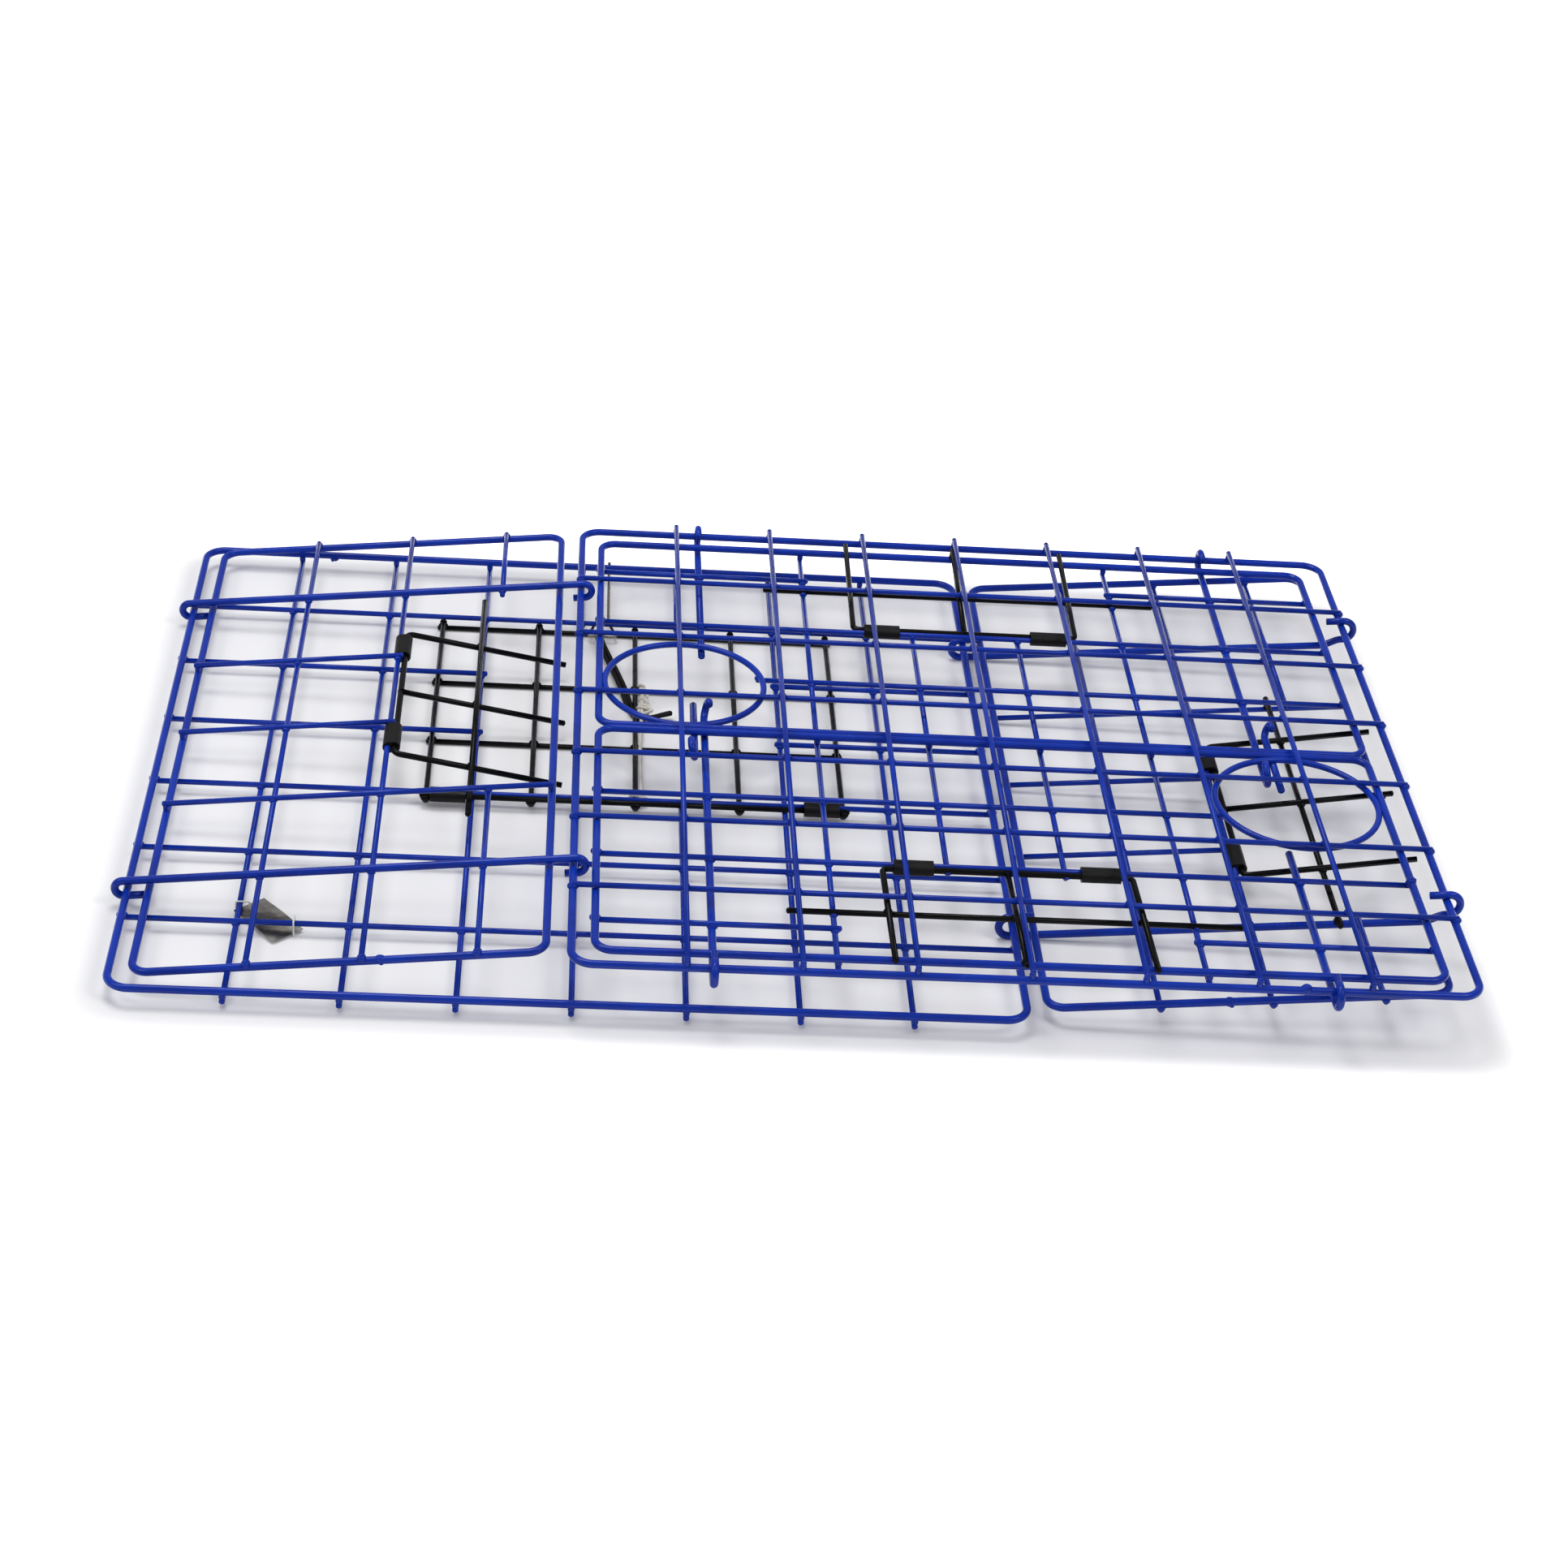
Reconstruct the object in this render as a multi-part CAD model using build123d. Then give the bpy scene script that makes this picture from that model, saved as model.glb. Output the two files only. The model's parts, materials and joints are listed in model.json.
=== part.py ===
from build123d import *
import math
import os

# Folding wire crate, lying folded flat: a base panel, a top panel, two sides and two ends, all of welded and
# coated wire. The sides turn on the left and right wires of the base panel and the top panel. The ends turn on
# the front and rear wires of the top panel and lie folded under it.
# Millimetres. X runs across the crate, Y from front to rear, Z up. The crate stands on Z = 0.

# Wires
FRAME_WIRE = 4.7
MESH_WIRE = 3.4
ROD_WIRE = 4.7
GATE_WIRE = 3.6
DOOR_WIRE = 3.3
RING_WIRE = 3.8
STUB = 1.5              # how far a mesh wire's end stands out past the mesh wire that it is welded to
FRAME_STUB = 1.0        # how far a mesh wire's end lies past the middle of a frame wire
HINGE_GAP = 0.4         # between a hinge loop and the wire that it turns on
FRAME_BEND = 15.0       # centre-line radius of the corners of the base and top frames
PANEL_BEND = 12.0       # centre-line radius of the corners of the side and end frames
SPRING_BACK = 0.01      # by which two bends in a row fall short of meeting

# Base and top panels
WIDTH = 609.6
DEPTH = 609.6
COLUMNS = 7
ROWS = 6
STACK = 33.0            # height of the top panel's frame over the base panel's frame

# Sides
LINK = 304.8            # between the base panel's wire and the top panel's wire
SIDE_INSET = 14.6       # from the hinge wire to the side's own frame wire
SIDE_OUTSET = 16.8      # from the side's far frame wire to the top panel's wire
SIDE_COLUMN = 76.2
SIDE_FRONT = 16.6       # from the base panel's front wire to the side's front wire
SIDE_REAR = 5.0         # from the side's rear wire to the base panel's rear wire
SIDE_CELLS = 6
ROD_ROWS = (1, 5)       # rows of a side that are its hinge rods
LEFT_SINK = 1.3         # of the left side's frame wire under the hinge line
RIGHT_SINK = 2.3        # of the right side's frame wire under the hinge line
RIGHT_DROP = 6.1        # of the right side's own plane under the top panel's wire, at the open pivot
LOOP_REACH = 10.8       # past the centre of the wire that a loop turns on
LOOP_TAIL = 12.0
LOOP_CENTRE = 1.5       # from the hinge wire to where a right side's loop starts to turn
JOGGLE = 5.0            # of the right side's rods, towards the top panel's wire
JOGGLE_START = 14.0     # before the open pivot
JOGGLE_END = 2.0
JOGGLE_BEND = 12.0

# Ends
END_LEFT = 15.5         # from the top panel's left wire to the end's left wire
END_RIGHT = 20.1        # from the end's right wire to the top panel's right wire
END_FRONT = 18.0        # from the top panel's front wire to the end's own hinge-side wire
END_PARTING = 2.8       # from the end's free wire to the middle of the top panel
END_SINK = 0.9          # of the end's frame under the top panel's frame
END_MARGIN = 78.75      # from the frame's side wires to the first column
END_CELL = 81.0         # between rows, counted from the free wire
RING_RADIUS = 60.0
RING_IN = 64.25         # from the end's right wire and from its free wire to the ring's middle
HOOK_SIDE = 6.5         # from the ring's middle to the hook wire
HOOK_TAIL = 24.0        # of the hook wire past the ring's middle
HOOK_PAST = 38.0        # of a hook past the free wire
HOOK_RISE = 15.0        # of a hook's tip over the hinge-side rods
HOOK_LEAN = 3.0         # of a hook's tip to the side
HOOK_RETURN = 10.0      # of a hook's tip, back from its bend
END_LOOP_REACH = 9.6    # past the centre of the top panel's wire
END_LOOP_TAIL = 10.0

# Gates
GATE_HALF = 88.0        # from the middle prong to an outer prong
GATE_LENGTH = 124.0
GATE_OFFSET = 5.2       # from the panel wire to the gate's hinge wire
GATE_BEND = 5.0
GATE_CLEAR = 0.3        # between a closed prong and the frame wire that it passes
CROSSBAR = 312.0
CROSSBAR_AT = 57.0      # from the hinge wire
GATE_HANG = 12.0        # degrees that the left side's gate hangs open
SIDE_SLEEVE_GAP = 3.0   # from the nearest inner wire of a side to a sleeve
END_SLEEVE_GAP = 10.35  # the same on an end
SLEEVE_LENGTH = 28.0
SLEEVE_HEIGHT = 9.0
SLEEVE_WALL = 1.6       # between a bore and the rounded end of the sleeve
GRIP = 0.2              # between a sleeve and the wire that it is crimped to
RUNNING = 0.8           # between a sleeve and the wire that turns in it

# Door in the base panel
DOORWAY_COLUMNS = (3, 6)    # columns of the base panel beside the doorway
DOORWAY_ROWS = (3, 6)       # rows of the base panel beside it
DOOR_OVERLAP = 33.4     # of the door past the doorway on the left
DOOR_SHORT = 4.9        # from the door's last row to the row of the base panel that it closes on
DOOR_CLEAR = 0.4        # between the door's columns and the base panel's rows
DOOR_COLUMNS = 5
DOOR_HINGE_OFFSET = 5.4
DOOR_SLEEVE_IN = 16.0   # from the door's side to the middle of a sleeve
DOOR_SLEEVE_LENGTH = 26.0
DOOR_STEP_FROM = 6.4    # from the hinge to where the door's columns step down to it
DOOR_STEP_PAST = 0.5    # of their ends past the hinge
DOOR_STEP_BEND = 12.0
DOOR_SEAT = 0.05        # between the stepped columns and the hinge wire that they are welded to

# Latch and tag
HOOK_WIRE = 2.4
HOOK_BESIDE = 11.2      # from the base panel's middle column to the hook
EYE_REACH = 14.0        # from the door-side row of the base panel to the eye's bar
EYE_APEX = 8.0          # past that row
EYE_LEFT = 5.8
EYE_RIGHT = 17.0
EYE_OPEN_X = 0.6        # of the eye's open end from the hook's line, and from its apex
EYE_OPEN_Y = 4.0
EYE_JOG = 10.2          # from the hook's line to its shank
HOOK_OVER = 0.55        # between the hook's tip and the base panel's rear wire
HOOK_LIP = 3.0          # of the tip over the middle of that wire
HOOK_BENDS = [1.8, 1.8, 4.0, 2.0]
CORD = 3.2
CORD_CLEAR = 0.1        # between the rubber cord and what it bends round
CORD_ON_EYE = 2.0       # from the hook's line to where the cord hangs on the eye
STRAND_GAP = 0.1
CRIMP_RIGHT = 10.0      # from the door's middle column to the crimp
CRIMP_FRONT = 44.0      # from the door's second row to the crimp
CRIMP_RISE = 1.5
CRIMP_LENGTH = 4.0
CRIMP_WALL = 0.8
CRIMP_CLEAR = 0.1
COTTON = 3.0
COTTON_CLEAR = 0.15
COTTON_BENDS = [20, 20, 40]
TAG_WALL = 0.8
TAG_LENGTH = 46.0
TAG_HEIGHT = 25.0
TAG_RIGHT = 20.5        # from the base panel's first column to the tag's middle
TAG_BACK = 13.0         # from the base panel's first row to the tag's middle
TAG_TURN = -50.0        # degrees
TIE_WIRE = 1.3
TIE_BACK = 12.0         # from the tag's middle to the tie round the column
TIE_RIGHT = 18.5        # from the tag's middle to the tie round the row


def polar(angle):
    return math.cos(math.radians(angle)), math.sin(math.radians(angle))


class Wire:
    """One bent wire: the points of its centre line, its diameter and its bend radius."""

    def __init__(self, points, size, bend=0.0, closed=False):
        self.points = [Vector(*p) for p in points]
        self.size = size
        self.bend = bend
        self.closed = closed

    def on(self, plane):
        placed = [plane.from_local_coords(p) for p in self.points]
        return Wire(placed, self.size, self.bend, self.closed)

    def path(self):
        if len(self.points) == 2:
            return Line(*self.points)
        return FilletPolyline(*self.points, radius=self.bend, close=self.closed)

    def solid(self):
        if len(self.points) == 2:
            start, end = self.points
            axis = end - start
            return Solid.make_cylinder(self.size / 2, axis.length, Plane(origin=start, z_dir=axis))
        path = self.path()
        start = Plane(origin=path @ 0, z_dir=path % 0)
        return sweep(start * Circle(self.size / 2), path=path).solid()


# Levels of the welded layers under or over a frame, between wire centres
ROW_LEVEL = (FRAME_WIRE + MESH_WIRE) / 2
COLUMN_LEVEL = ROW_LEVEL + MESH_WIRE
ROD_LEVEL = ROW_LEVEL + (MESH_WIRE + ROD_WIRE) / 2
LOOP_LEVEL = FRAME_WIRE / 2 + ROD_WIRE / 2 + HINGE_GAP

# Where the linkage stands when folded
FOLD = math.degrees(math.asin(STACK / LINK))
SHIFT = LINK * math.cos(math.radians(FOLD))
RIGHT_FOLD = FOLD - math.degrees(math.asin(RIGHT_DROP / LINK))
FLOOR = RIGHT_SINK + ROD_LEVEL + ROD_WIRE / 2

base = Plane(origin=(0, 0, FLOOR))
top = Plane(origin=(SHIFT, 0, FLOOR + STACK))
slope_x, slope_z = polar(FOLD)
left = Plane(origin=(0, 0, FLOOR), x_dir=(slope_x, 0, slope_z), z_dir=(-slope_z, 0, slope_x))
slope_x, slope_z = polar(RIGHT_FOLD)
right = Plane(origin=(WIDTH, 0, FLOOR), x_dir=(slope_x, 0, slope_z), z_dir=(-slope_z, 0, slope_x))
front = Plane(origin=(SHIFT, 0, FLOOR + STACK - END_SINK))
end_width = WIDTH - END_LEFT - END_RIGHT
end_reach = DEPTH / 2 - END_PARTING
end_middle = END_LEFT + end_width / 2
rear = Plane(origin=(SHIFT + 2 * end_middle, DEPTH, FLOOR + STACK - END_SINK), x_dir=(-1, 0, 0), z_dir=(0, 0, 1))

wires = {}
parts = {}


def add(node, plane, *pieces):
    wires.setdefault(node, []).extend(piece.on(plane) for piece in pieces)


def frame_wire(x0, x1, y0, y1, level, bend):
    corners = [(x0, y0, level), (x1, y0, level), (x1, y1, level), (x0, y1, level)]
    return Wire(corners, FRAME_WIRE, bend, closed=True)


def along_x(x0, x1, y, level, size=MESH_WIRE):
    return Wire([(x0, y, level), (x1, y, level)], size)


def along_y(x, y0, y1, level, size=MESH_WIRE):
    return Wire([(x, y0, level), (x, y1, level)], size)


# Base panel, mesh under its frame. The doorway cuts two of its rows and two of its columns.
column_x = [WIDTH * i / (COLUMNS + 1) for i in range(COLUMNS + 2)]
row_y = [DEPTH * i / (ROWS + 1) for i in range(ROWS + 2)]
first_column, last_column = DOORWAY_COLUMNS
first, last = DOORWAY_ROWS
door_x0, door_x1 = column_x[first_column], column_x[last_column]
door_y0, door_y1 = row_y[first], row_y[last]
weld_stub = MESH_WIRE / 2 + STUB

add("base_frame", base, frame_wire(0, WIDTH, 0, DEPTH, 0, FRAME_BEND))
for i in range(1, ROWS + 1):
    if first < i < last:
        add("base_rows", base, along_x(-FRAME_STUB, door_x0 + weld_stub, row_y[i], -ROW_LEVEL))
        add("base_rows", base, along_x(door_x1 - weld_stub, WIDTH + FRAME_STUB, row_y[i], -ROW_LEVEL))
    else:
        add("base_rows", base, along_x(-FRAME_STUB, WIDTH + FRAME_STUB, row_y[i], -ROW_LEVEL))
for i in range(1, COLUMNS + 1):
    if first_column < i < last_column:
        add("base_columns", base, along_y(column_x[i], -FRAME_STUB, door_y0 + weld_stub, -COLUMN_LEVEL))
        add("base_columns", base, along_y(column_x[i], door_y1 - weld_stub, DEPTH + FRAME_STUB, -COLUMN_LEVEL))
    else:
        add("base_columns", base, along_y(column_x[i], -FRAME_STUB, DEPTH + FRAME_STUB, -COLUMN_LEVEL))

# Top panel, mesh over its frame
add("top_frame", top, frame_wire(0, WIDTH, 0, DEPTH, 0, FRAME_BEND))
for y in row_y[1:-1]:
    add("top_rows", top, along_x(-FRAME_STUB, WIDTH + FRAME_STUB, y, ROW_LEVEL))
for x in column_x[1:-1]:
    add("top_columns", top, along_y(x, -FRAME_STUB, DEPTH + FRAME_STUB, COLUMN_LEVEL))

# Sides. Their mesh lies over the frame on the left side and under it on the right side.
side_cell = (DEPTH - SIDE_FRONT - SIDE_REAR) / SIDE_CELLS
side_y = [SIDE_FRONT + side_cell * i for i in range(SIDE_CELLS + 1)]
side_u = [SIDE_INSET + SIDE_COLUMN * i for i in range(4)]
side_far = LINK - SIDE_OUTSET


def side(name, plane, frame_level, face, gate_row_low, gate_row_high):
    """A side panel: its gate lies between the two gate rows, and its third column stops at them."""
    row_level = frame_level + face * COLUMN_LEVEL
    column_level = frame_level + face * ROW_LEVEL
    near, far = SIDE_INSET - FRAME_STUB, side_far + FRAME_STUB
    add(f"{name}_frame", plane, frame_wire(SIDE_INSET, side_far, side_y[0], side_y[-1], frame_level, PANEL_BEND))
    low, high = side_y[0] - FRAME_STUB, side_y[-1] + FRAME_STUB
    for u in side_u[1:3]:
        add(f"{name}_columns", plane, along_y(u, low, high, column_level))
    low_reach, high_reach = (
        ROD_WIRE / 2 + STUB if row in ROD_ROWS else weld_stub for row in (gate_row_low, gate_row_high)
    )
    add(f"{name}_columns", plane, along_y(side_u[3], low, side_y[gate_row_low] + low_reach, column_level))
    add(f"{name}_columns", plane, along_y(side_u[3], side_y[gate_row_high] - high_reach, high, column_level))
    for i in range(2, SIDE_CELLS - 1):
        stop = side_u[2] + weld_stub if gate_row_low < i < gate_row_high else far
        add(f"{name}_rows", plane, along_x(near, stop, side_y[i], row_level))


side("left", left, -LEFT_SINK, 1, 2, 5)
side("right", right, -RIGHT_SINK, -1, 1, 4)

# Hinge rods of the left side: over both hinge wires, round them and back underneath
left_rod = -LEFT_SINK + ROD_LEVEL
loop_out = LOOP_REACH - ROD_WIRE / 2
left_loop_bend = (left_rod + LOOP_LEVEL) / 2 - SPRING_BACK
left_rod_points = [
    (LOOP_TAIL, -LOOP_LEVEL), (-loop_out, -LOOP_LEVEL), (-loop_out, left_rod),
    (LINK + loop_out, left_rod), (LINK + loop_out, -LOOP_LEVEL), (LINK - LOOP_TAIL / 2, -LOOP_LEVEL),
]
# Hinge rods of the right side: under both hinge wires, round them and back on top, with a joggle that
# follows the top panel's wire
right_rod = -RIGHT_SINK - ROD_LEVEL
pivot_u = math.sqrt(LINK**2 - RIGHT_DROP**2)
right_near_bend = (LOOP_LEVEL - right_rod) / 2 - SPRING_BACK
right_near_out = LOOP_CENTRE + right_near_bend
right_far_top = RIGHT_DROP + LOOP_LEVEL
right_far_bend = (right_far_top - right_rod - JOGGLE) / 2 - SPRING_BACK
right_far_out = pivot_u + LOOP_CENTRE + right_far_bend
right_rod_points = [
    (LOOP_TAIL + JOGGLE_END, LOOP_LEVEL), (-right_near_out, LOOP_LEVEL), (-right_near_out, right_rod),
    (pivot_u - JOGGLE_START, right_rod), (pivot_u - JOGGLE_END, right_rod + JOGGLE),
    (right_far_out, right_rod + JOGGLE), (right_far_out, right_far_top), (pivot_u - LOOP_TAIL, right_far_top),
]
left_bends = [left_loop_bend] * 4
right_bends = [right_near_bend] * 2 + [JOGGLE_BEND] * 2 + [right_far_bend] * 2
for y in (side_y[row] for row in ROD_ROWS):
    add("left_rods", left, Wire([(u, y, w) for u, w in left_rod_points], ROD_WIRE, left_bends))
    add("right_rods", right, Wire([(u, y, w) for u, w in right_rod_points], ROD_WIRE, right_bends))


end_pitch = (end_width - 2 * END_MARGIN) / 5
end_rows = [end_reach - END_CELL * i for i in (1, 2, 3)]
ring_x = END_LEFT + end_width - RING_IN
ring_y = end_reach - RING_IN
hook_x = ring_x - HOOK_SIDE
hook_y = end_reach + HOOK_PAST
hook_top = HOOK_RISE - ROD_LEVEL


def hook_end(x, y, level, top_level):
    """The last points of a hook that curls up out of its panel and back."""
    return [(x, y, level), (x + HOOK_LEAN, y, top_level), (x + HOOK_LEAN, y - HOOK_RETURN, top_level)]


def end_panel(name, plane):
    """An end panel with its escape ring: the gate hangs from its second row."""
    x0, x1 = END_LEFT, END_LEFT + end_width
    xs = [x0 + END_MARGIN + end_pitch * i for i in range(6)]
    row_a, row_b, row_c = end_rows
    gate_left, gate_right = xs[1], xs[4]
    far_x = x1 + FRAME_STUB
    add(f"{name}_frame", plane, frame_wire(x0, x1, END_FRONT, end_reach, 0, PANEL_BEND))
    ring_chord = math.sqrt(RING_RADIUS**2 - (row_a - ring_y) ** 2)
    add(f"{name}_rows", plane, along_x(x0 - FRAME_STUB, gate_left + weld_stub, row_c, -ROW_LEVEL))
    add(f"{name}_rows", plane, along_x(gate_right - weld_stub, far_x, row_c, -ROW_LEVEL))
    add(f"{name}_rows", plane, along_x(x0 - FRAME_STUB, far_x, row_b, -ROW_LEVEL))
    add(f"{name}_rows", plane, along_x(x0 - FRAME_STUB, ring_x - ring_chord + STUB, row_a, -ROW_LEVEL))
    free = end_reach + FRAME_WIRE / 2
    for x in (xs[1], xs[4]):
        add(f"{name}_columns", plane, along_y(x, END_FRONT - FRAME_STUB, free, -COLUMN_LEVEL))
    for x in (xs[2], xs[3]):
        add(f"{name}_columns", plane, along_y(x, row_b - weld_stub, free, -COLUMN_LEVEL))
    end_loop = END_SINK + LOOP_LEVEL
    bend = (end_loop + ROD_LEVEL) / 2 - SPRING_BACK
    loop = [(END_LOOP_TAIL, end_loop), (-END_LOOP_REACH, end_loop), (-END_LOOP_REACH, -ROD_LEVEL)]
    long_rod = [(xs[0], y, w) for y, w in loop]
    long_rod += hook_end(xs[0], hook_y, -ROD_LEVEL, hook_top)
    ring_edge = ring_y - math.sqrt(RING_RADIUS**2 - (xs[5] - ring_x) ** 2)
    short_rod = [(xs[5], y, w) for y, w in loop] + [(xs[5], ring_edge + STUB, -ROD_LEVEL)]
    rod_bend = HOOK_RISE / 2 - SPRING_BACK
    add(f"{name}_rods", plane, Wire(long_rod, ROD_WIRE, [bend, bend, rod_bend, rod_bend]))
    add(f"{name}_rods", plane, Wire(short_rod, ROD_WIRE, [bend, bend]))
    level = -(FRAME_WIRE + ROD_WIRE) / 2
    free_hook = [(hook_x, ring_y + HOOK_TAIL, level)] + hook_end(hook_x, hook_y, level, hook_top)
    add(f"{name}_hook_wire", plane, Wire(free_hook, ROD_WIRE, (hook_top - level) / 2 - SPRING_BACK))
    ring_level = -(FRAME_WIRE - RING_WIRE) / 2
    ring = Solid.make_torus(RING_RADIUS, RING_WIRE / 2, Plane(origin=(ring_x, ring_y, ring_level)))
    parts[f"{name}_escape_ring"] = [ring.moved(plane.location)]


end_panel("front", front)
end_panel("rear", rear)


def sleeve(length, offset, bore_a, bore_b):
    """A crimped sleeve along X: one bore at the origin grips a wire, one at Y = offset turns on another."""
    flat = offset + bore_a + bore_b + 2 * SLEEVE_WALL - SLEEVE_HEIGHT
    middle = (offset + bore_b - bore_a) / 2
    across = Plane(origin=(-length / 2, 0, 0), x_dir=(0, 1, 0), z_dir=(1, 0, 0))
    profile = Pos(middle, 0) * SlotOverall(flat + SLEEVE_HEIGHT, SLEEVE_HEIGHT)
    profile -= Circle(bore_a)
    profile -= Pos(offset, 0) * Circle(bore_b)
    return extrude(across * profile, length).solid()


def gate(name, plane, panel_y, level, face, frame_y, inner, hang=0.0):
    """A prong gate in a plane whose X runs along its hinge wire and whose +Y points to the prongs' tips.
    panel_y and level are the panel wire's place, face is the side that the prongs close on, and inner is how
    far from the middle the sleeves start."""
    hinge_y = panel_y + GATE_OFFSET
    frame_level = level + face * ROW_LEVEL
    prong_level = frame_level + face * (FRAME_WIRE / 2 + GATE_CLEAR + GATE_WIRE / 2)
    closed = math.degrees(math.atan2(prong_level - level, frame_y - hinge_y))
    tilt_y, tilt_z = polar(closed + face * hang)
    swing = Plane(origin=plane.from_local_coords(Vector(0, hinge_y, level)), x_dir=plane.x_dir,
                  z_dir=plane.from_local_coords(Vector(0, -tilt_z, tilt_y)) - plane.origin)
    outer = [(-GATE_HALF, GATE_LENGTH, 0), (-GATE_HALF, 0, 0), (GATE_HALF, 0, 0), (GATE_HALF, GATE_LENGTH, 0)]
    add(f"{name}_gate_hinge_wire", swing, Wire(outer, GATE_WIRE, GATE_BEND))
    add(f"{name}_gate_middle_prong", swing, along_y(0, GATE_WIRE / 2, GATE_LENGTH, 0, GATE_WIRE))
    add(f"{name}_gate_crossbar", swing,
        along_x(-CROSSBAR / 2, CROSSBAR / 2, CROSSBAR_AT, -face * GATE_WIRE, GATE_WIRE))
    sleeve_at = inner + SLEEVE_LENGTH / 2
    body = sleeve(SLEEVE_LENGTH, GATE_OFFSET, MESH_WIRE / 2 + GRIP, GATE_WIRE / 2 + RUNNING)
    place = Plane(origin=plane.from_local_coords(Vector(0, panel_y, level)), x_dir=plane.x_dir, z_dir=plane.z_dir)
    parts[f"{name}_gate_sleeves"] = [body.moved(place.location * Pos(x, 0, 0)) for x in (-sleeve_at, sleeve_at)]


left_gate_y = (side_y[2] + side_y[5]) / 2
right_gate_y = (side_y[1] + side_y[4]) / 2


def side_gate_plane(plane, y):
    """X along the side's columns, Y along its link."""
    return Plane(origin=plane.from_local_coords(Vector(0, y, 0)), x_dir=(0, -1, 0), z_dir=plane.z_dir)


gate("left", side_gate_plane(left, left_gate_y), side_u[2], -LEFT_SINK + ROW_LEVEL, -1, side_far,
     side_cell / 2 + SIDE_SLEEVE_GAP, GATE_HANG)
gate("right", side_gate_plane(right, right_gate_y), side_u[2], -RIGHT_SINK - ROW_LEVEL, 1, side_far,
     side_cell / 2 + SIDE_SLEEVE_GAP)
for name, plane in (("front", front), ("rear", rear)):
    turned = Plane(origin=plane.from_local_coords(Vector(end_middle, 0, 0)), x_dir=-plane.x_dir, z_dir=plane.z_dir)
    gate(name, turned, -end_rows[1], -ROW_LEVEL, 1, -END_FRONT, end_pitch / 2 + END_SLEEVE_GAP)

# Door, nested under the base panel and hung from its third row
door_xs = [door_x0 - DOOR_OVERLAP + column_x[1] * i for i in range(DOOR_COLUMNS)]
door_left, door_right = door_xs[0], door_xs[-1]
door_column_level = -ROW_LEVEL - MESH_WIRE / 2 - DOOR_CLEAR - DOOR_WIRE / 2
door_row_level = door_column_level - DOOR_WIRE
door_hinge_y = row_y[first] - DOOR_HINGE_OFFSET
door_hinge_level = -COLUMN_LEVEL + MESH_WIRE / 2 + DOOR_CLEAR + DOOR_WIRE / 2
door_top = row_y[last] - DOOR_SHORT
door_rows = [door_top - row_y[1] * i for i in range(3)]
door_end = DOOR_WIRE / 2 + STUB
door_step = door_hinge_level - DOOR_WIRE - DOOR_SEAT
for x in door_xs:
    points = [
        (x, door_top + door_end, door_column_level), (x, door_hinge_y + DOOR_STEP_FROM, door_column_level),
        (x, door_hinge_y - DOOR_STEP_PAST, door_step),
    ]
    add("door_columns", base, Wire(points, DOOR_WIRE, DOOR_STEP_BEND))
for y in door_rows:
    add("door_rows", base, along_x(door_left - door_end, door_right + door_end, y, door_row_level, DOOR_WIRE))
hinge_span = (door_left - door_end, door_right + door_end)
add("door_hinge_wire", base, along_x(*hinge_span, door_hinge_y, door_hinge_level, DOOR_WIRE))
door_sleeve = sleeve(DOOR_SLEEVE_LENGTH, DOOR_HINGE_OFFSET, MESH_WIRE / 2 + GRIP, DOOR_WIRE / 2 + RUNNING)
door_sleeve_plane = Plane(origin=base.from_local_coords(Vector(0, row_y[first], -ROW_LEVEL)),
                          x_dir=(-1, 0, 0), z_dir=(0, 0, 1))
parts["door_sleeves"] = [
    door_sleeve.moved(door_sleeve_plane.location * Pos(-x, 0, 0))
    for x in (door_left + DOOR_SLEEVE_IN, door_right - DOOR_SLEEVE_IN)
]

# Latch: a bent hook with an eye
hook_level = -ROW_LEVEL - MESH_WIRE / 2 - DOOR_CLEAR - HOOK_WIRE / 2
hook_line = column_x[(COLUMNS + 1) // 2] + HOOK_BESIDE
eye_y = row_y[last] - EYE_REACH
eye_apex = row_y[last] + EYE_APEX
hook_tip_y = DEPTH + FRAME_WIRE / 2 + HOOK_WIRE / 2 + HOOK_OVER
shank = hook_line + EYE_JOG
hook_points = [
    (hook_line - EYE_OPEN_X, eye_apex - EYE_OPEN_Y, hook_level), (hook_line - EYE_LEFT, eye_y, hook_level),
    (hook_line + EYE_RIGHT, eye_y, hook_level), (shank, eye_apex, hook_level),
    (shank, hook_tip_y, hook_level), (shank, hook_tip_y, HOOK_LIP),
]
add("latch_hook", base, Wire(hook_points, HOOK_WIRE, HOOK_BENDS))

# The rubber cord runs round the hook's eye, down over the door's second row, under its third column and
# through the crimp. Its two strands lie side by side: each place on their middle line is followed by how
# much of half their pitch they stand apart along X and along Y.
half_pitch = CORD / 2 + STRAND_GAP / 2
turn = HOOK_WIRE / 2 + CORD / 2 + CORD_CLEAR
eye_x = hook_line + CORD_ON_EYE
over_row = door_row_level + DOOR_WIRE / 2 + CORD / 2 + CORD_CLEAR
under_column = door_column_level - DOOR_WIRE / 2 - CORD / 2 - CORD_CLEAR
middle_column, second_row = door_xs[2], door_rows[1]
crimp_x, crimp_y = middle_column + CRIMP_RIGHT, second_row - CRIMP_FRONT
crimp_level = under_column + CRIMP_RISE
strand_line = [
    (eye_x + 3.0, eye_y - 9.0, hook_level, 1.0, 0.3),
    (middle_column - 8.6, second_row - 3.5, over_row, 1.0, 0.3),
    (middle_column - 4.4, second_row - 26.0, under_column, 1.0, 0.3),
    (middle_column + 1.5, second_row - 41.0, under_column, 0.4, 0.9),
    (crimp_x - 4.5, crimp_y, crimp_level, 0.0, 1.0),
    (crimp_x + 4.5, crimp_y, crimp_level, 0.0, 1.0),
]
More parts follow.
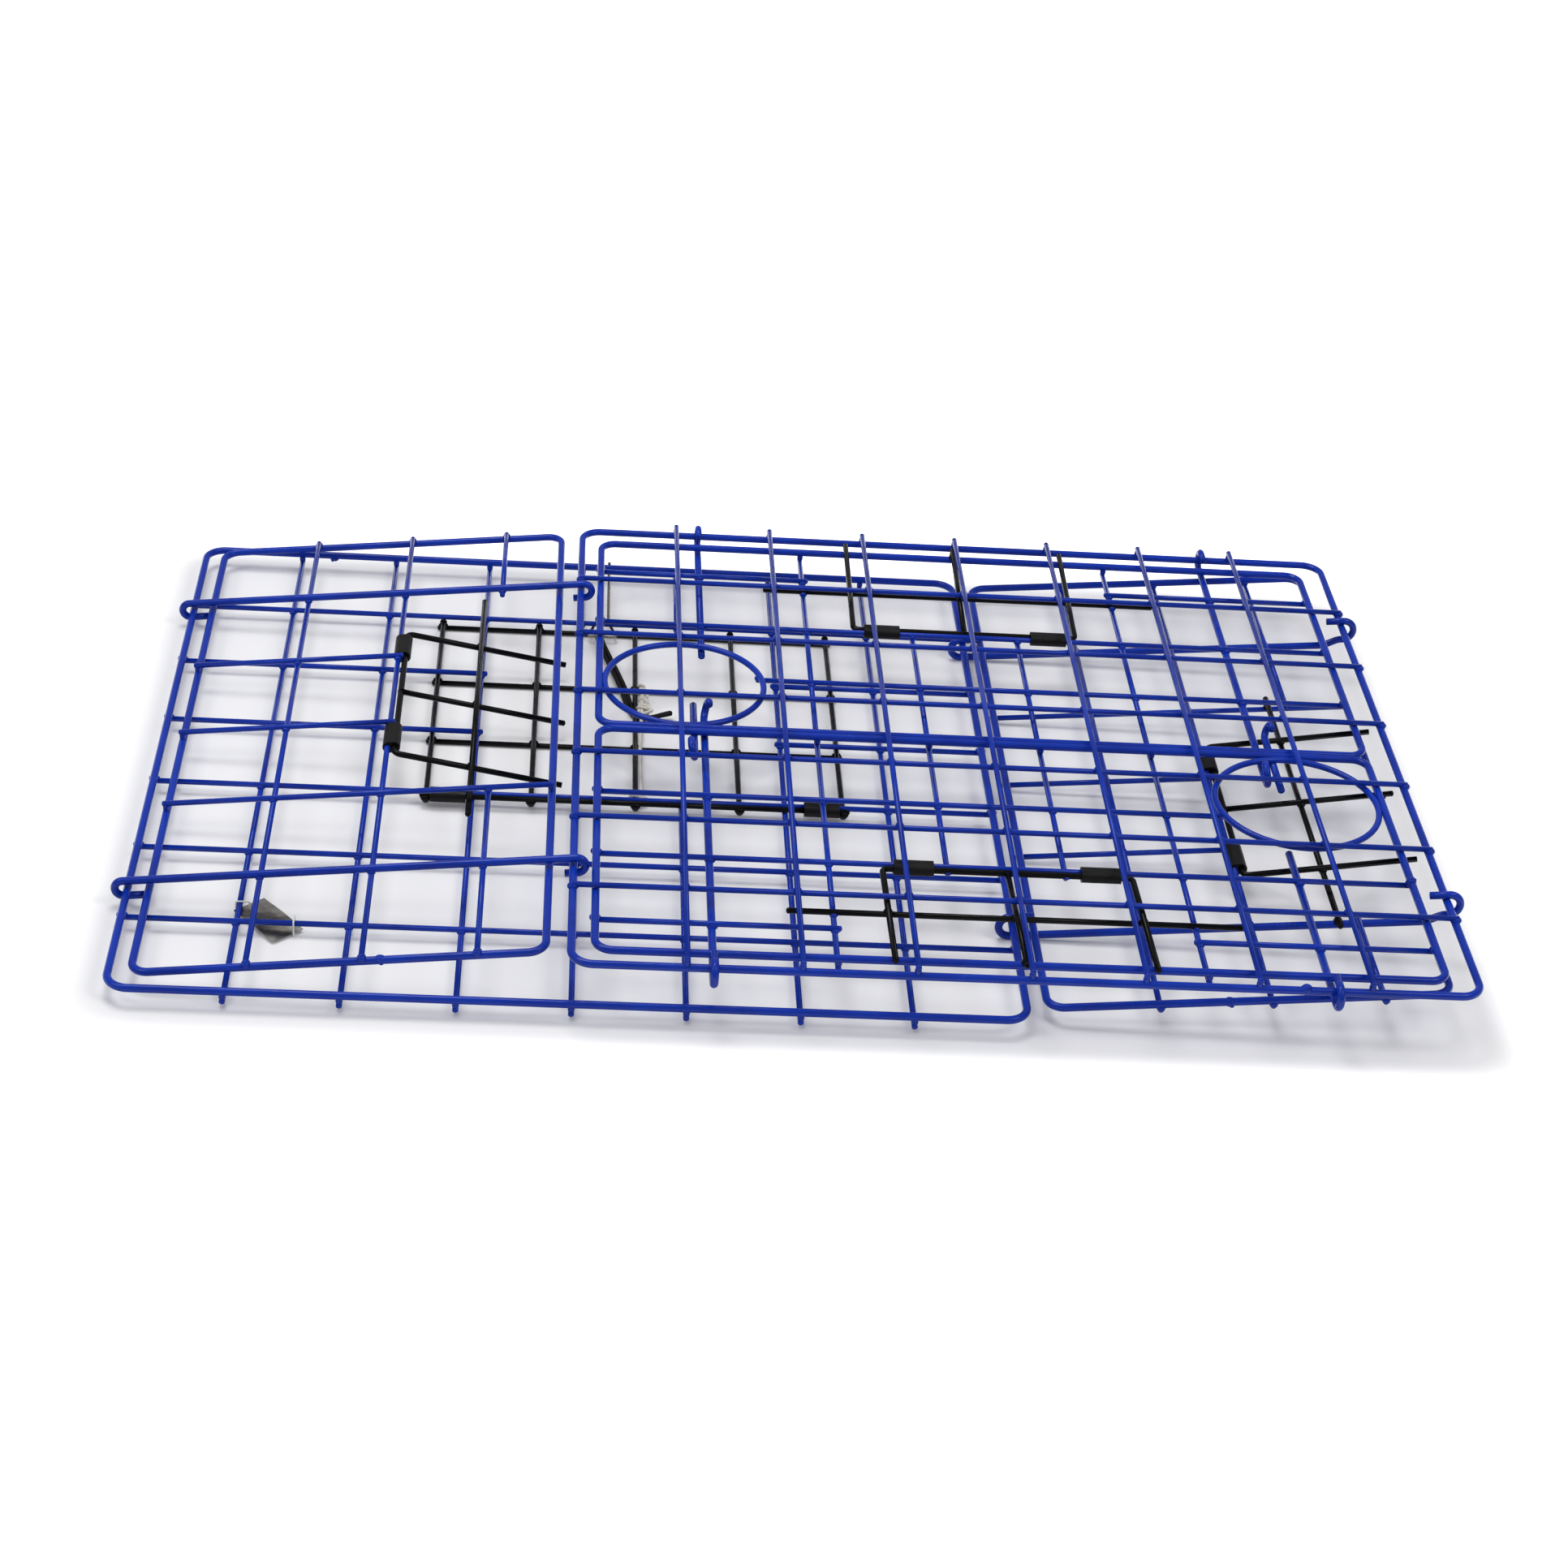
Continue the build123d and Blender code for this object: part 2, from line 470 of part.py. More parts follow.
right_strand = [(x + half_pitch * i, y + half_pitch * j, z) for x, y, z, i, j in strand_line]
left_strand = [(x - half_pitch * i, y - half_pitch * j, z) for x, y, z, i, j in strand_line]
tails = [(crimp_x + 18.0, crimp_y + y, crimp_level + 1.5) for y in (8.0, -6.5)]
round_eye = [
    (eye_x + 2.6, eye_y - 3.0, hook_level + turn), (eye_x + 0.3, eye_y + turn, hook_level + turn),
    (eye_x - 0.3, eye_y + turn, hook_level - turn), (eye_x + 0.4, eye_y - 3.0, hook_level - turn),
]
cord_points = [tails[0]] + right_strand[::-1] + round_eye + left_strand + [tails[1]]
strand_bends = [4, 3, 3, 3, 6, 4]
cord_bends = strand_bends + [5, turn - 0.1, turn - 0.1, 5] + strand_bends[::-1]
add("rubber_cord", base, Wire(cord_points, CORD, cord_bends))
crimp_inside = SlotOverall(4 * half_pitch + CRIMP_CLEAR, 2 * half_pitch + CRIMP_CLEAR)
crimp_outside = offset(crimp_inside, CRIMP_WALL)
crimp_plane = Plane(origin=base.from_local_coords(Vector(crimp_x - CRIMP_LENGTH / 2, crimp_y, crimp_level)),
                    x_dir=(0, 1, 0), z_dir=(1, 0, 0))
parts["cord_crimp"] = [extrude(crimp_plane * (crimp_outside - crimp_inside), CRIMP_LENGTH).solid()]

# The cotton cord runs from the door's second row past the crimp to its third row
cotton_x = middle_column + DOOR_WIRE / 2 + COTTON / 2 + COTTON_CLEAR
cotton_level = door_row_level + DOOR_WIRE / 2 + COTTON / 2 + COTTON_CLEAR
cotton = [
    (cotton_x + 1.5, second_row + 6.0, cotton_level), (cotton_x + 2.5, crimp_y + 9.0, cotton_level + 2.6),
    (cotton_x + 1.5, crimp_y - 12.0, cotton_level + 2.0), (cotton_x, door_rows[2], cotton_level),
    (cotton_x, door_hinge_y + 10.0, cotton_level + 0.5),
]
add("cotton_cord", base, Wire(cotton, COTTON, COTTON_BENDS))

# Tag: a folded plate tied under the first column and the first row
tag_x, tag_y = column_x[1] + TAG_RIGHT, row_y[1] + TAG_BACK
tag_top = -COLUMN_LEVEL - MESH_WIRE / 2 - 0.4
tag_drop = 1.0
half = TAG_LENGTH / 2
tag_outline = Polyline((-half, -tag_drop), (0, 0), (half, -tag_drop), (half, -tag_drop - TAG_WALL),
                       (0, -TAG_WALL), (-half, -tag_drop - TAG_WALL), close=True)
diagonal = Vector(*polar(TAG_TURN), 0)
tag_plane = Plane(origin=base.from_local_coords(Vector(tag_x, tag_y, tag_top)), x_dir=diagonal,
                  z_dir=diagonal.cross(Vector(0, 0, 1)))
tag_plate = extrude(tag_plane * make_face(tag_outline), TAG_HEIGHT / 2, both=True)
tie_out = MESH_WIRE / 2 + TIE_WIRE / 2 + 0.2
hole_in = 4.2
tie_low = tag_top - tag_drop - TAG_WALL - 0.95
tie_past = tie_out + 4.2
ties = []
tie_places = (column_x[1], tag_y + TIE_BACK, -COLUMN_LEVEL, 0), (tag_x + TIE_RIGHT, row_y[1], -ROW_LEVEL, 1)
for x, y, level, along_row in tie_places:
    spans = [(x, y - tie_out), (x, y + tie_past)] if along_row else [(x - tie_out, y), (x + tie_past, y)]
    (near_x, near_y), (hole_x, hole_y) = spans
    corners = [(near_x, near_y, tie_low), (hole_x, hole_y, tie_low), (hole_x, hole_y, level + tie_out),
               (near_x, near_y, level + tie_out)]
    ties.append(Wire(corners, TIE_WIRE, 1.0, closed=True))
    under_hole = base.from_local_coords(Vector(hole_x, hole_y, tag_top - 6))
    tag_plate -= Solid.make_cylinder(TIE_WIRE / 2 + 0.9, 10, Plane(under_hole))
add("tag_ties", base, *ties)
parts["tag_plate"] = [tag_plate.solid()]

NODES = {name: [wire.solid() for wire in group] for name, group in wires.items()}
NODES.update(parts)

# The origin is the middle of the footprint, on the surface that the folded crate lies on
box = Compound([solid for solids in NODES.values() for solid in solids]).bounding_box()
origin = Vector(box.center().X, box.center().Y, box.min.Z)
NODES = {name: [solid.moved(Pos(-origin)) for solid in solids] for name, solids in NODES.items()}

os.makedirs("parts", exist_ok=True)
for name, solids in NODES.items():
    shape = solids[0] if len(solids) == 1 else Compound(solids)
    export_step(shape, f"parts/{name}.step")
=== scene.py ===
import json
import math
import random

import bmesh
import bpy
from mathutils import Matrix, Vector
from mathutils.bvhtree import BVHTree

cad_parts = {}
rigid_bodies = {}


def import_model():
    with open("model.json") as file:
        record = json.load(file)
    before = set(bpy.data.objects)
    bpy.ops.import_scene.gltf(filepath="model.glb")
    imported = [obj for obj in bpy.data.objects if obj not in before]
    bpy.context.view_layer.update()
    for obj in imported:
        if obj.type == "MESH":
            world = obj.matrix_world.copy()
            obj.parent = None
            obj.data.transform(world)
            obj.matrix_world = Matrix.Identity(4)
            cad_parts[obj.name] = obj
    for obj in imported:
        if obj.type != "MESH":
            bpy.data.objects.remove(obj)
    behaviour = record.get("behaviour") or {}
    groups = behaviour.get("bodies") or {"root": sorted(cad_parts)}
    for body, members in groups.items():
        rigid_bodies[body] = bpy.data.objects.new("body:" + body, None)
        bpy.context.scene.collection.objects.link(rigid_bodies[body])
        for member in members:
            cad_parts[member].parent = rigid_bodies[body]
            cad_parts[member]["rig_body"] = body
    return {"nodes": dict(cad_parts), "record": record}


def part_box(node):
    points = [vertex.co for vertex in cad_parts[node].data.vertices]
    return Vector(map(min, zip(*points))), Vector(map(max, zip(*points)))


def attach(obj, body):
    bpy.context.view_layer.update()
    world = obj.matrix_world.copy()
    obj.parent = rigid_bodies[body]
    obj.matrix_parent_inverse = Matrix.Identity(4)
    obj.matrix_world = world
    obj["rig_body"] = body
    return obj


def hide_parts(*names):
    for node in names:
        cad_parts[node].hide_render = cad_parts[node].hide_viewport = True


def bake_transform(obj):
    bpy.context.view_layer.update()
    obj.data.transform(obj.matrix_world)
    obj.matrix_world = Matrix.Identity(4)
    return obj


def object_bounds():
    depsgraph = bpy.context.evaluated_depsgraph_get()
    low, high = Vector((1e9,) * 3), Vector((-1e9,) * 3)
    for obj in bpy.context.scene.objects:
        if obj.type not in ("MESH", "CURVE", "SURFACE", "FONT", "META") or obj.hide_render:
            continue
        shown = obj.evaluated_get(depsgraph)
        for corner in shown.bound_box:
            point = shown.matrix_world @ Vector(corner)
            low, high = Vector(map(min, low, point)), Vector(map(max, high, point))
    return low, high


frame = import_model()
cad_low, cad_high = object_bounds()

# Folding wire crate lying folded flat. The wires are the frame's own solids. What is added here is what
# welding and dip-coating leave on them: the coating's thickness, filled joints, rounded wire ends and lumps at
# the butt welds. The cords and their knots are added too. Everything is in metres, in the frame's own axes.

MM = 0.001
UP = Vector((0, 0, 1))

# Wires, welds and coating
COAT = 0.45 * MM                # thickness of the coating over the frame's bare wires
SAME_POINT = 0.005 * MM         # points of a solid's faces that are closer than this are one point
END_ZONE = 4 * MM               # of a straight wire, over which the middle of its end is found
THICKEST_STRAIGHT = 3 * MM      # radius
SHORTEST_STRAIGHT = 15 * MM
TOUCH = 0.5 * MM                # between two wires that count as welded
SAME_WELD = 2.5 * MM
LONGEST_CHORD = 8 * MM          # across a wire where it is touched
HOVER = 5.6 * MM                # from the middle of a wire end to the frame wire under it
END_IN = 1.5 * MM               # from a wire's end to where it is welded
BUTT_LENGTH = 4.2 * MM          # half length of the flash of a butt weld
BUTT_LUMPS = 5

# Cords
LOOP_RADIUS = 1.72 * MM
LOOP_HALF = 1.75 * MM           # from the middle of the doubled rubber cord to each strand
LOOP_TURN = 3.0 * MM            # of the rubber cord past the middle of the hook's eye
HOOK_RADIUS = 1.2 * MM
DOOR_WIRE_RADIUS = 1.65 * MM
HOOK_BESIDE = 31.6 * MM         # from the door's third column to the hook's line
STRAND = 0.78 * MM
STRAND_SPREAD = 0.75 * MM
STRAND_PITCH = 9.0 * MM
KNOT_STRAND = 0.62 * MM
KNOT_SPREAD = 0.6 * MM
KNOT_PITCH = 7.0 * MM
KNOT_STEPS = 52                 # points for each turn of a knot

# Stage and camera
FLOOR_HALF = 8.0
FLOOR_SPREAD = (0.48, 0.325)    # half sides of the shaded floor under the crate
FLOOR_GLOW = 0.07
WORLD_LIGHT = 0.42
LENS = 73.34
SENSOR = 36.0
CAMERA_TURN = (31.80, 4.98, 5.02)       # pitch down, yaw and roll in degrees
CAMERA_AT = (0.283, -1.713, 1.244)      # from the front left corner of the base panel's frame wire

nodes = frame["nodes"]
base_low, base_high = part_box("base_frame")
FRAME_RADIUS = (base_high.z - base_low.z) / 2
random.seed(7)


# ---------------------------------------------------------------- materials

def new_material(name, color, roughness, metallic=0.0, specular=0.5):
    material = bpy.data.materials.new(name)
    material.use_nodes = True
    shader = material.node_tree.nodes["Principled BSDF"]
    shader.inputs["Base Color"].default_value = (*color, 1)
    shader.inputs["Roughness"].default_value = roughness
    shader.inputs["Metallic"].default_value = metallic
    shader.inputs["Specular IOR Level"].default_value = specular
    return material, material.node_tree, shader


def noise(tree, scale, detail=3.0, stretch=(1, 1, 1)):
    place = tree.nodes.new("ShaderNodeTexCoord")
    mapping = tree.nodes.new("ShaderNodeMapping")
    mapping.inputs["Scale"].default_value = stretch
    texture = tree.nodes.new("ShaderNodeTexNoise")
    texture.inputs["Scale"].default_value = scale
    texture.inputs["Detail"].default_value = detail
    tree.links.new(place.outputs["Object"], mapping.inputs["Vector"])
    tree.links.new(mapping.outputs["Vector"], texture.inputs["Vector"])
    return texture


def ramp(tree, source, stops):
    node = tree.nodes.new("ShaderNodeValToRGB")
    elements = node.color_ramp.elements
    for element, (position, color) in zip(elements, (stops[0], stops[-1])):
        element.position = position
        element.color = (*color, 1)
    for position, color in stops[1:-1]:
        element = elements.new(position)
        element.color = (*color, 1)
    tree.links.new(source, node.inputs["Fac"])
    return node


def grey(value):
    return (value, value, value)


def bump(tree, shader, height, strength, distance):
    node = tree.nodes.new("ShaderNodeBump")
    node.inputs["Strength"].default_value = strength
    node.inputs["Distance"].default_value = distance
    tree.links.new(height, node.inputs["Height"])
    tree.links.new(node.outputs["Normal"], shader.inputs["Normal"])


def coating(name, color, deep, roughness, specular):
    """A thick dipped coating: slow changes of tone, faint orange peel, duller patches where it was rubbed."""
    material, tree, shader = new_material(name, color, roughness, specular=specular)
    tone = noise(tree, 22.0, 4.0)
    shade = ramp(tree, tone.outputs["Fac"], [(0.32, deep), (0.62, color)])
    tree.links.new(shade.outputs["Color"], shader.inputs["Base Color"])
    rub = noise(tree, 60.0, 5.0)
    gloss = ramp(tree, rub.outputs["Fac"], [(0.35, grey(roughness * 0.75)), (0.75, grey(roughness * 1.5))])
    tree.links.new(gloss.outputs["Color"], shader.inputs["Roughness"])
    peel = noise(tree, 420.0, 2.0)
    bump(tree, shader, peel.outputs["Fac"], 0.12, 0.35 * MM)
    return material


def tube_rubber():
    material, tree, shader = new_material("black_sleeve", (0.0030, 0.0030, 0.0030), 0.38, specular=0.2)
    grain = noise(tree, 900.0, 3.0)
    bump(tree, shader, grain.outputs["Fac"], 0.25, 0.2 * MM)
    tone = noise(tree, 90.0, 4.0)
    gloss = ramp(tree, tone.outputs["Fac"], [(0.3, grey(0.30)), (0.7, grey(0.55))])
    tree.links.new(gloss.outputs["Color"], shader.inputs["Roughness"])
    return material


def cord_rubber():
    material, tree, shader = new_material("black_rubber", (0.0035, 0.0035, 0.0038), 0.62, specular=0.2)
    grain = noise(tree, 1400.0, 2.0)
    bump(tree, shader, grain.outputs["Fac"], 0.35, 0.15 * MM)
    return material


def steel(name, color, roughness):
    material, tree, shader = new_material(name, color, roughness, metallic=1.0)
    drawn = noise(tree, 260.0, 3.0)
    gloss = ramp(tree, drawn.outputs["Fac"], [(0.3, grey(roughness * 0.7)), (0.7, grey(roughness * 1.6))])
    tree.links.new(gloss.outputs["Color"], shader.inputs["Roughness"])
    bump(tree, shader, drawn.outputs["Fac"], 0.15, 0.1 * MM)
    return material


def zinc():
    """Galvanised sheet: faint spangle under brown and blue-black handling stains along the plate."""
    material, tree, shader = new_material("zinc_plate", (0.3, 0.29, 0.27), 0.38, metallic=1.0)
    stains = noise(tree, 26.0, 3.0, (1.0, 2.2, 1.0))
    tone = ramp(tree, stains.outputs["Fac"], [
        (0.36, (0.035, 0.038, 0.05)), (0.46, (0.16, 0.15, 0.145)),
        (0.56, (0.34, 0.32, 0.28)), (0.7, (0.5, 0.49, 0.45)),
    ])
    place = tree.nodes.new("ShaderNodeTexCoord")
    spangle = tree.nodes.new("ShaderNodeTexVoronoi")
    spangle.inputs["Scale"].default_value = 260.0
    tree.links.new(place.outputs["Object"], spangle.inputs["Vector"])
    flake = ramp(tree, spangle.outputs["Color"], [(0.1, grey(0.75)), (0.9, grey(1.0))])
    blend = tree.nodes.new("ShaderNodeMixRGB")
    blend.blend_type = "MULTIPLY"
    blend.inputs["Fac"].default_value = 1.0
    tree.links.new(tone.outputs["Color"], blend.inputs["Color1"])
    tree.links.new(flake.outputs["Color"], blend.inputs["Color2"])
    tree.links.new(blend.outputs["Color"], shader.inputs["Base Color"])
    marks = noise(tree, 120.0, 5.0, (1, 4, 1))
    gloss = ramp(tree, marks.outputs["Fac"], [(0.3, grey(0.26)), (0.7, grey(0.55))])
    tree.links.new(gloss.outputs["Color"], shader.inputs["Roughness"])
    bump(tree, shader, marks.outputs["Fac"], 0.2, 0.15 * MM)
    return material


def cotton():
    material, tree, shader = new_material("white_cotton", (0.74, 0.71, 0.63), 0.9)
    shader.inputs["Sheen Weight"].default_value = 0.4
    fibre = noise(tree, 2600.0, 4.0)
    tone = ramp(tree, fibre.outputs["Fac"], [(0.3, (0.55, 0.51, 0.43)), (0.65, (0.80, 0.77, 0.70))])
    tree.links.new(tone.outputs["Color"], shader.inputs["Base Color"])
    bump(tree, shader, fibre.outputs["Fac"], 0.6, 0.2 * MM)
    return material


def nylon():
    material, tree, shader = new_material("white_nylon", (0.78, 0.78, 0.75), 0.4)
    shader.inputs["Subsurface Weight"].default_value = 0.1
    haze = noise(tree, 300.0, 3.0)
    bump(tree, shader, haze.outputs["Fac"], 0.1, 0.1 * MM)
    return material


MATERIALS = {
    "blue_coating": coating("blue_coating", (0.0042, 0.034, 0.385), (0.003, 0.023, 0.280), 0.20, 0.20),
    "black_coating": coating("black_coating", (0.0020, 0.0020, 0.0024), (0.0010, 0.0010, 0.0012), 0.26, 0.13),
    "black_sleeve": tube_rubber(),
    "black_rubber": cord_rubber(),
    "hook_steel": steel("hook_steel", (0.27, 0.245, 0.21), 0.24),
    "crimp_steel": steel("crimp_steel", (0.38, 0.38, 0.38), 0.28),
    "white_cotton": cotton(),
    "white_nylon": nylon(),
    "zinc_plate": zinc(),
}
SLOT_OF = {part["node"]: part["material_slot"] for part in frame["record"]["subparts"]}
WIRE_SLOTS = ("blue_coating", "black_coating")


def coat(node):
    """The dipped coating stands out evenly from a wire, and closes over where wires touch."""
    join = node.modifiers.new("join", "WELD")
    join.merge_threshold = SAME_POINT
    swell = node.modifiers.new("coat", "DISPLACE")
    swell.strength = COAT
    swell.mid_level = 0.0


for name, node in nodes.items():
    node.data.materials.clear()
    node.data.materials.append(MATERIALS[SLOT_OF[name]])
    node.data.polygons.foreach_set("use_smooth", [True] * len(node.data.polygons))
    if SLOT_OF[name] in WIRE_SLOTS:
        coat(node)


# ---------------------------------------------------------------- reading the wires back from the frame

class Island:
    """One solid of a node: its points, its faces for nearest-point tests and, if it is straight, its axis."""

    def __init__(self, node, points, faces):
        self.node = node
        self.body = node["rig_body"]
        self.points = points
        self.tree = BVHTree.FromPolygons(points, faces)
        self.low = Vector(min(p[i] for p in points) for i in range(3))
        self.high = Vector(max(p[i] for p in points) for i in range(3))
        start = points[0]
        far = max(points, key=lambda p: (p - start).length)
        near = max(points, key=lambda p: (p - far).length)
        axis = (far - near).normalized()
        reach = [(p - near).dot(axis) for p in points]
        length = max(reach)
        near_end = [p for p, r in zip(points, reach) if r < END_ZONE]
        far_end = [p for p, r in zip(points, reach) if r > length - END_ZONE]
        self.ends = [sum(end, Vector()) / len(end) for end in (near_end, far_end)]
        self.axis = (self.ends[1] - self.ends[0]).normalized()
        offsets = [(p - self.ends[0]) - self.axis * (p - self.ends[0]).dot(self.axis) for p in points]
        self.radius = max(offset.length for offset in offsets)
        self.length = (self.ends[1] - self.ends[0]).length
        self.straight = self.radius < THICKEST_STRAIGHT and self.length > SHORTEST_STRAIGHT


def islands_of(node):
    """The solids of a node, each with its points merged where its faces meet."""
    mesh = node.data
    keys = [tuple(round(c, 6) for c in v.co) for v in mesh.vertices]
    index = {}
    merged = [index.setdefault(key, len(index)) for key in keys]
    places = [None] * len(index)
    for vertex, target in zip(mesh.vertices, merged):
        places[target] = vertex.co.copy()
    parent = list(range(len(index)))

    def root(i):
        while parent[i] != i:
            parent[i] = parent[parent[i]]
            i = parent[i]
        return i

    polygons = [[merged[v] for v in polygon.vertices] for polygon in mesh.polygons]
    for polygon in polygons:
        first = root(polygon[0])
        for other in polygon[1:]:
            parent[root(other)] = first
    groups = {}
    for polygon in polygons:
        groups.setdefault(root(polygon[0]), []).append(polygon)
    result = []
    for faces in groups.values():
        used = sorted({i for face in faces for i in face})
        local = {old: new for new, old in enumerate(used)}
        result.append(Island(node, [places[i] for i in used], [[local[i] for i in face] for face in faces]))
    return result


wires = [
    wire for name, node in sorted(nodes.items()) if SLOT_OF[name] in WIRE_SLOTS for wire in islands_of(node)
]


# ---------------------------------------------------------------- welds and wire ends

def object_from(name, mesh_data, material, body, slot):
    mesh = bpy.data.meshes.new(name)
    mesh_data.to_mesh(mesh)
    mesh_data.free()
    mesh.polygons.foreach_set("use_smooth", [True] * len(mesh.polygons))
    mesh.materials.append(material)
    piece = bpy.data.objects.new(name, mesh)
    bpy.context.scene.collection.objects.link(piece)
    if body is not None:
        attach(piece, body)
    return piece


def add_blob(mesh_data, centre, axes, sizes, lump=0.0):
    """An ellipsoid with its three half sizes along three axes, a little uneven."""
    basis = Matrix([axis.normalized() for axis in axes]).transposed().to_4x4()
    place = Matrix.Translation(centre) @ basis @ Matrix.Diagonal((*sizes, 1))
    made = bmesh.ops.create_uvsphere(mesh_data, u_segments=14, v_segments=9, radius=1.0, matrix=place)
    for vertex in made["verts"]:
        vertex.co += (vertex.co - centre) * random.uniform(-lump, lump)


def overlap(a, b, margin):
    return all(a.low[i] - margin < b.high[i] and b.low[i] - margin < a.high[i] for i in range(3))


def meetings(wire, other):
    """Where a straight wire runs past another one within reach of a weld: its own point and the other's."""
    steps = max(2, int(wire.length / MM))
    best = None
    for i in range(steps + 1):
        point = wire.ends[0].lerp(wire.ends[1], i / steps)
        touch, _, _, distance = other.tree.find_nearest(point, wire.radius + TOUCH)
        if touch is not None and (best is None or distance < best[2]):
            best = (point, touch, distance)
        elif best is not None and touch is None:
            yield best[:2]
            best = None
    if best is not None:
        yield best[:2]


def crossings():
    """Where a straight wire meets a wire of another node of its body: its point, the touch and both wires."""
    kept = []
    for wire in wires:
        if not wire.straight:
            continue
        for other in wires:
            if other.node is wire.node or other.body != wire.body or not overlap(wire, other, 1 * MM):
                continue
            for point, touch in meetings(wire, other):
                if all((touch - k[1]).length >= SAME_WELD for k in kept):
                    kept.append((point, touch, wire, other))
    return kept


def local_radius(island, touch, direction):
    """Half the thickness of a wire where it is touched, along a direction through its middle."""
    inside = touch + direction * 0.05 * MM
    hit = island.tree.ray_cast(inside, direction, LONGEST_CHORD)
    return hit[3] / 2 if hit[0] is not None else 2.0 * MM


def data_for(meshes, wire):
    return meshes.setdefault((wire.body, SLOT_OF[wire.node.name]), bmesh.new())


def make_pieces(meshes, suffix):
    for (body, slot), data in sorted(meshes.items()):
        object_from(f"{body}_{slot}_{suffix}", data, MATERIALS[slot], body, slot)


def weld_joints():
    """Coating fills each welded crossing, so the wires run into each other there."""
    meshes = {}
    for point, touch, wire, other in crossings():
        toward = (touch - point).normalized()
        reach = local_radius(other, touch, toward)
        across = wire.axis.cross(toward).normalized()
        sizes = (reach + COAT + 1.3 * MM, wire.radius + COAT + 1.1 * MM, 0.75 * (reach + wire.radius))
        add_blob(data_for(meshes, wire), touch, (wire.axis, across, toward), sizes, 0.03)
    make_pieces(meshes, "joints")


def nearest_frame(wire, end):
    """The wire that an end which hovers over it is welded to, and the nearest point of it."""
    best = None
    for other in wires:
        if other is wire or other.body != wire.body or other.straight or not overlap(wire, other, 5 * MM):
            continue
        touch, _, _, distance = other.tree.find_nearest(end, HOVER)
        if touch is not None and (best is None or distance < best[1]):
            best = (touch, distance)
    return best


def round_end(data, wire, end, direction):
    side = direction.orthogonal().normalized()
    thick = wire.radius + COAT
    sizes = (thick * 0.72, thick * 0.99, thick * 0.99)
    add_blob(data, end, (direction, side, direction.cross(side)), sizes, 0.015)


def bridge_to_frame(data, wire, end, direction):
    """Coating between the end of a second-layer wire and the frame wire that it hovers over."""
    inside = end - direction * END_IN
    found = nearest_frame(wire, inside)
    if found is None or found[1] < wire.radius + 0.6 * MM:
        return
    touch, distance = found
    toward = (touch - inside).normalized()
    half = (distance + wire.radius) / 2
    thick = wire.radius + COAT
    axes = (toward, direction.cross(toward).normalized(), direction)
    add_blob(data, inside + toward * half, axes, (half + 0.6 * MM, thick + 0.25 * MM, thick + 0.1 * MM), 0.02)


def wire_ends():
    """Coating rounds off each cut wire end, and fills the gap between a second-layer wire and its frame."""
    meshes = {}
    for wire in wires:
        if not wire.straight:
            continue
        for end, direction in ((wire.ends[0], -wire.axis), (wire.ends[1], wire.axis)):
            data = data_for(meshes, wire)
            round_end(data, wire, end, direction)
            bridge_to_frame(data, wire, end, direction)
    make_pieces(meshes, "wire_ends")


def add_butt_weld(data, frame_wire, axis, share, side):
    """The flash of a butt weld, where the two ends of a frame wire meet: share is how far along its low
    (side 0) or high (side 1) edge, which runs along the axis."""
    low, high = frame_wire.low, frame_wire.high
    other = 1 - axis
    at = low.copy()
    at[axis] = low[axis] + (high[axis] - low[axis]) * share
    at[other] = (low, high)[side][other]
    at.z = low.z + (high.z - low.z) * (at.x - low.x) / (high.x - low.x)
    inward = Vector((0, 0, 0))
    inward[other] = (1, -1)[side]
    along_wire = Vector((0, 0, 0))
    along_wire[axis] = 1
    thick = FRAME_RADIUS + COAT
    centre = frame_wire.tree.find_nearest(at)[0] + inward * FRAME_RADIUS
    add_blob(data, centre, (along_wire, inward, UP), (BUTT_LENGTH, thick + 0.7 * MM, thick + 0.6 * MM), 0.05)
    for k in range(BUTT_LUMPS):
        turn = math.tau * k / BUTT_LUMPS + share * 9
        out = inward * math.cos(turn) + UP * math.sin(turn)
        place = centre + out * thick + along_wire * random.uniform(-1.6, 1.6) * MM
        size = random.uniform(0.8, 1.35) * MM
        add_blob(data, place, (along_wire, out, along_wire.cross(out)), (size * 1.3, size, size), 0.12)


def butt_welds():
    """One on each welded frame wire: the wire, the axis of the edge, the share along it and the side."""
    places = (
        ("base_frame", 0, 0.17, 1), ("left_frame", 0, 0.60, 0), ("right_frame", 0, 0.45, 0),
        ("front_frame", 1, 0.42, 1), ("rear_frame", 1, 0.55, 0), ("top_frame", 0, 0.80, 0),
    )
    for name, axis, share, side in places:
        data = bmesh.new()
        frame_wire = next(wire for wire in wires if wire.node is nodes[name])
        add_butt_weld(data, frame_wire, axis, share, side)
        slot = SLOT_OF[name]
        object_from(f"{name}_butt_weld", data, MATERIALS[slot], frame_wire.body, slot)


weld_joints()
wire_ends()
butt_welds()


# ---------------------------------------------------------------- cords

def smooth_line(points, resolution=10):
    """The points along the smooth spline that the given points control."""
    curve = bpy.data.curves.new("route", "CURVE")
    curve.dimensions = "3D"
    curve.resolution_u = resolution
    spline = curve.splines.new("NURBS")
    spline.points.add(len(points) - 1)
    for control, point in zip(spline.points, points):
        control.co = (*point, 1)
    spline.use_endpoint_u = True
    spline.order_u = 3
    route = bpy.data.objects.new("route", curve)
    mesh = bpy.data.meshes.new_from_object(route)
    line = [vertex.co.copy() for vertex in mesh.vertices]
    bpy.data.objects.remove(route)
    bpy.data.curves.remove(curve)
    bpy.data.meshes.remove(mesh)
    return line


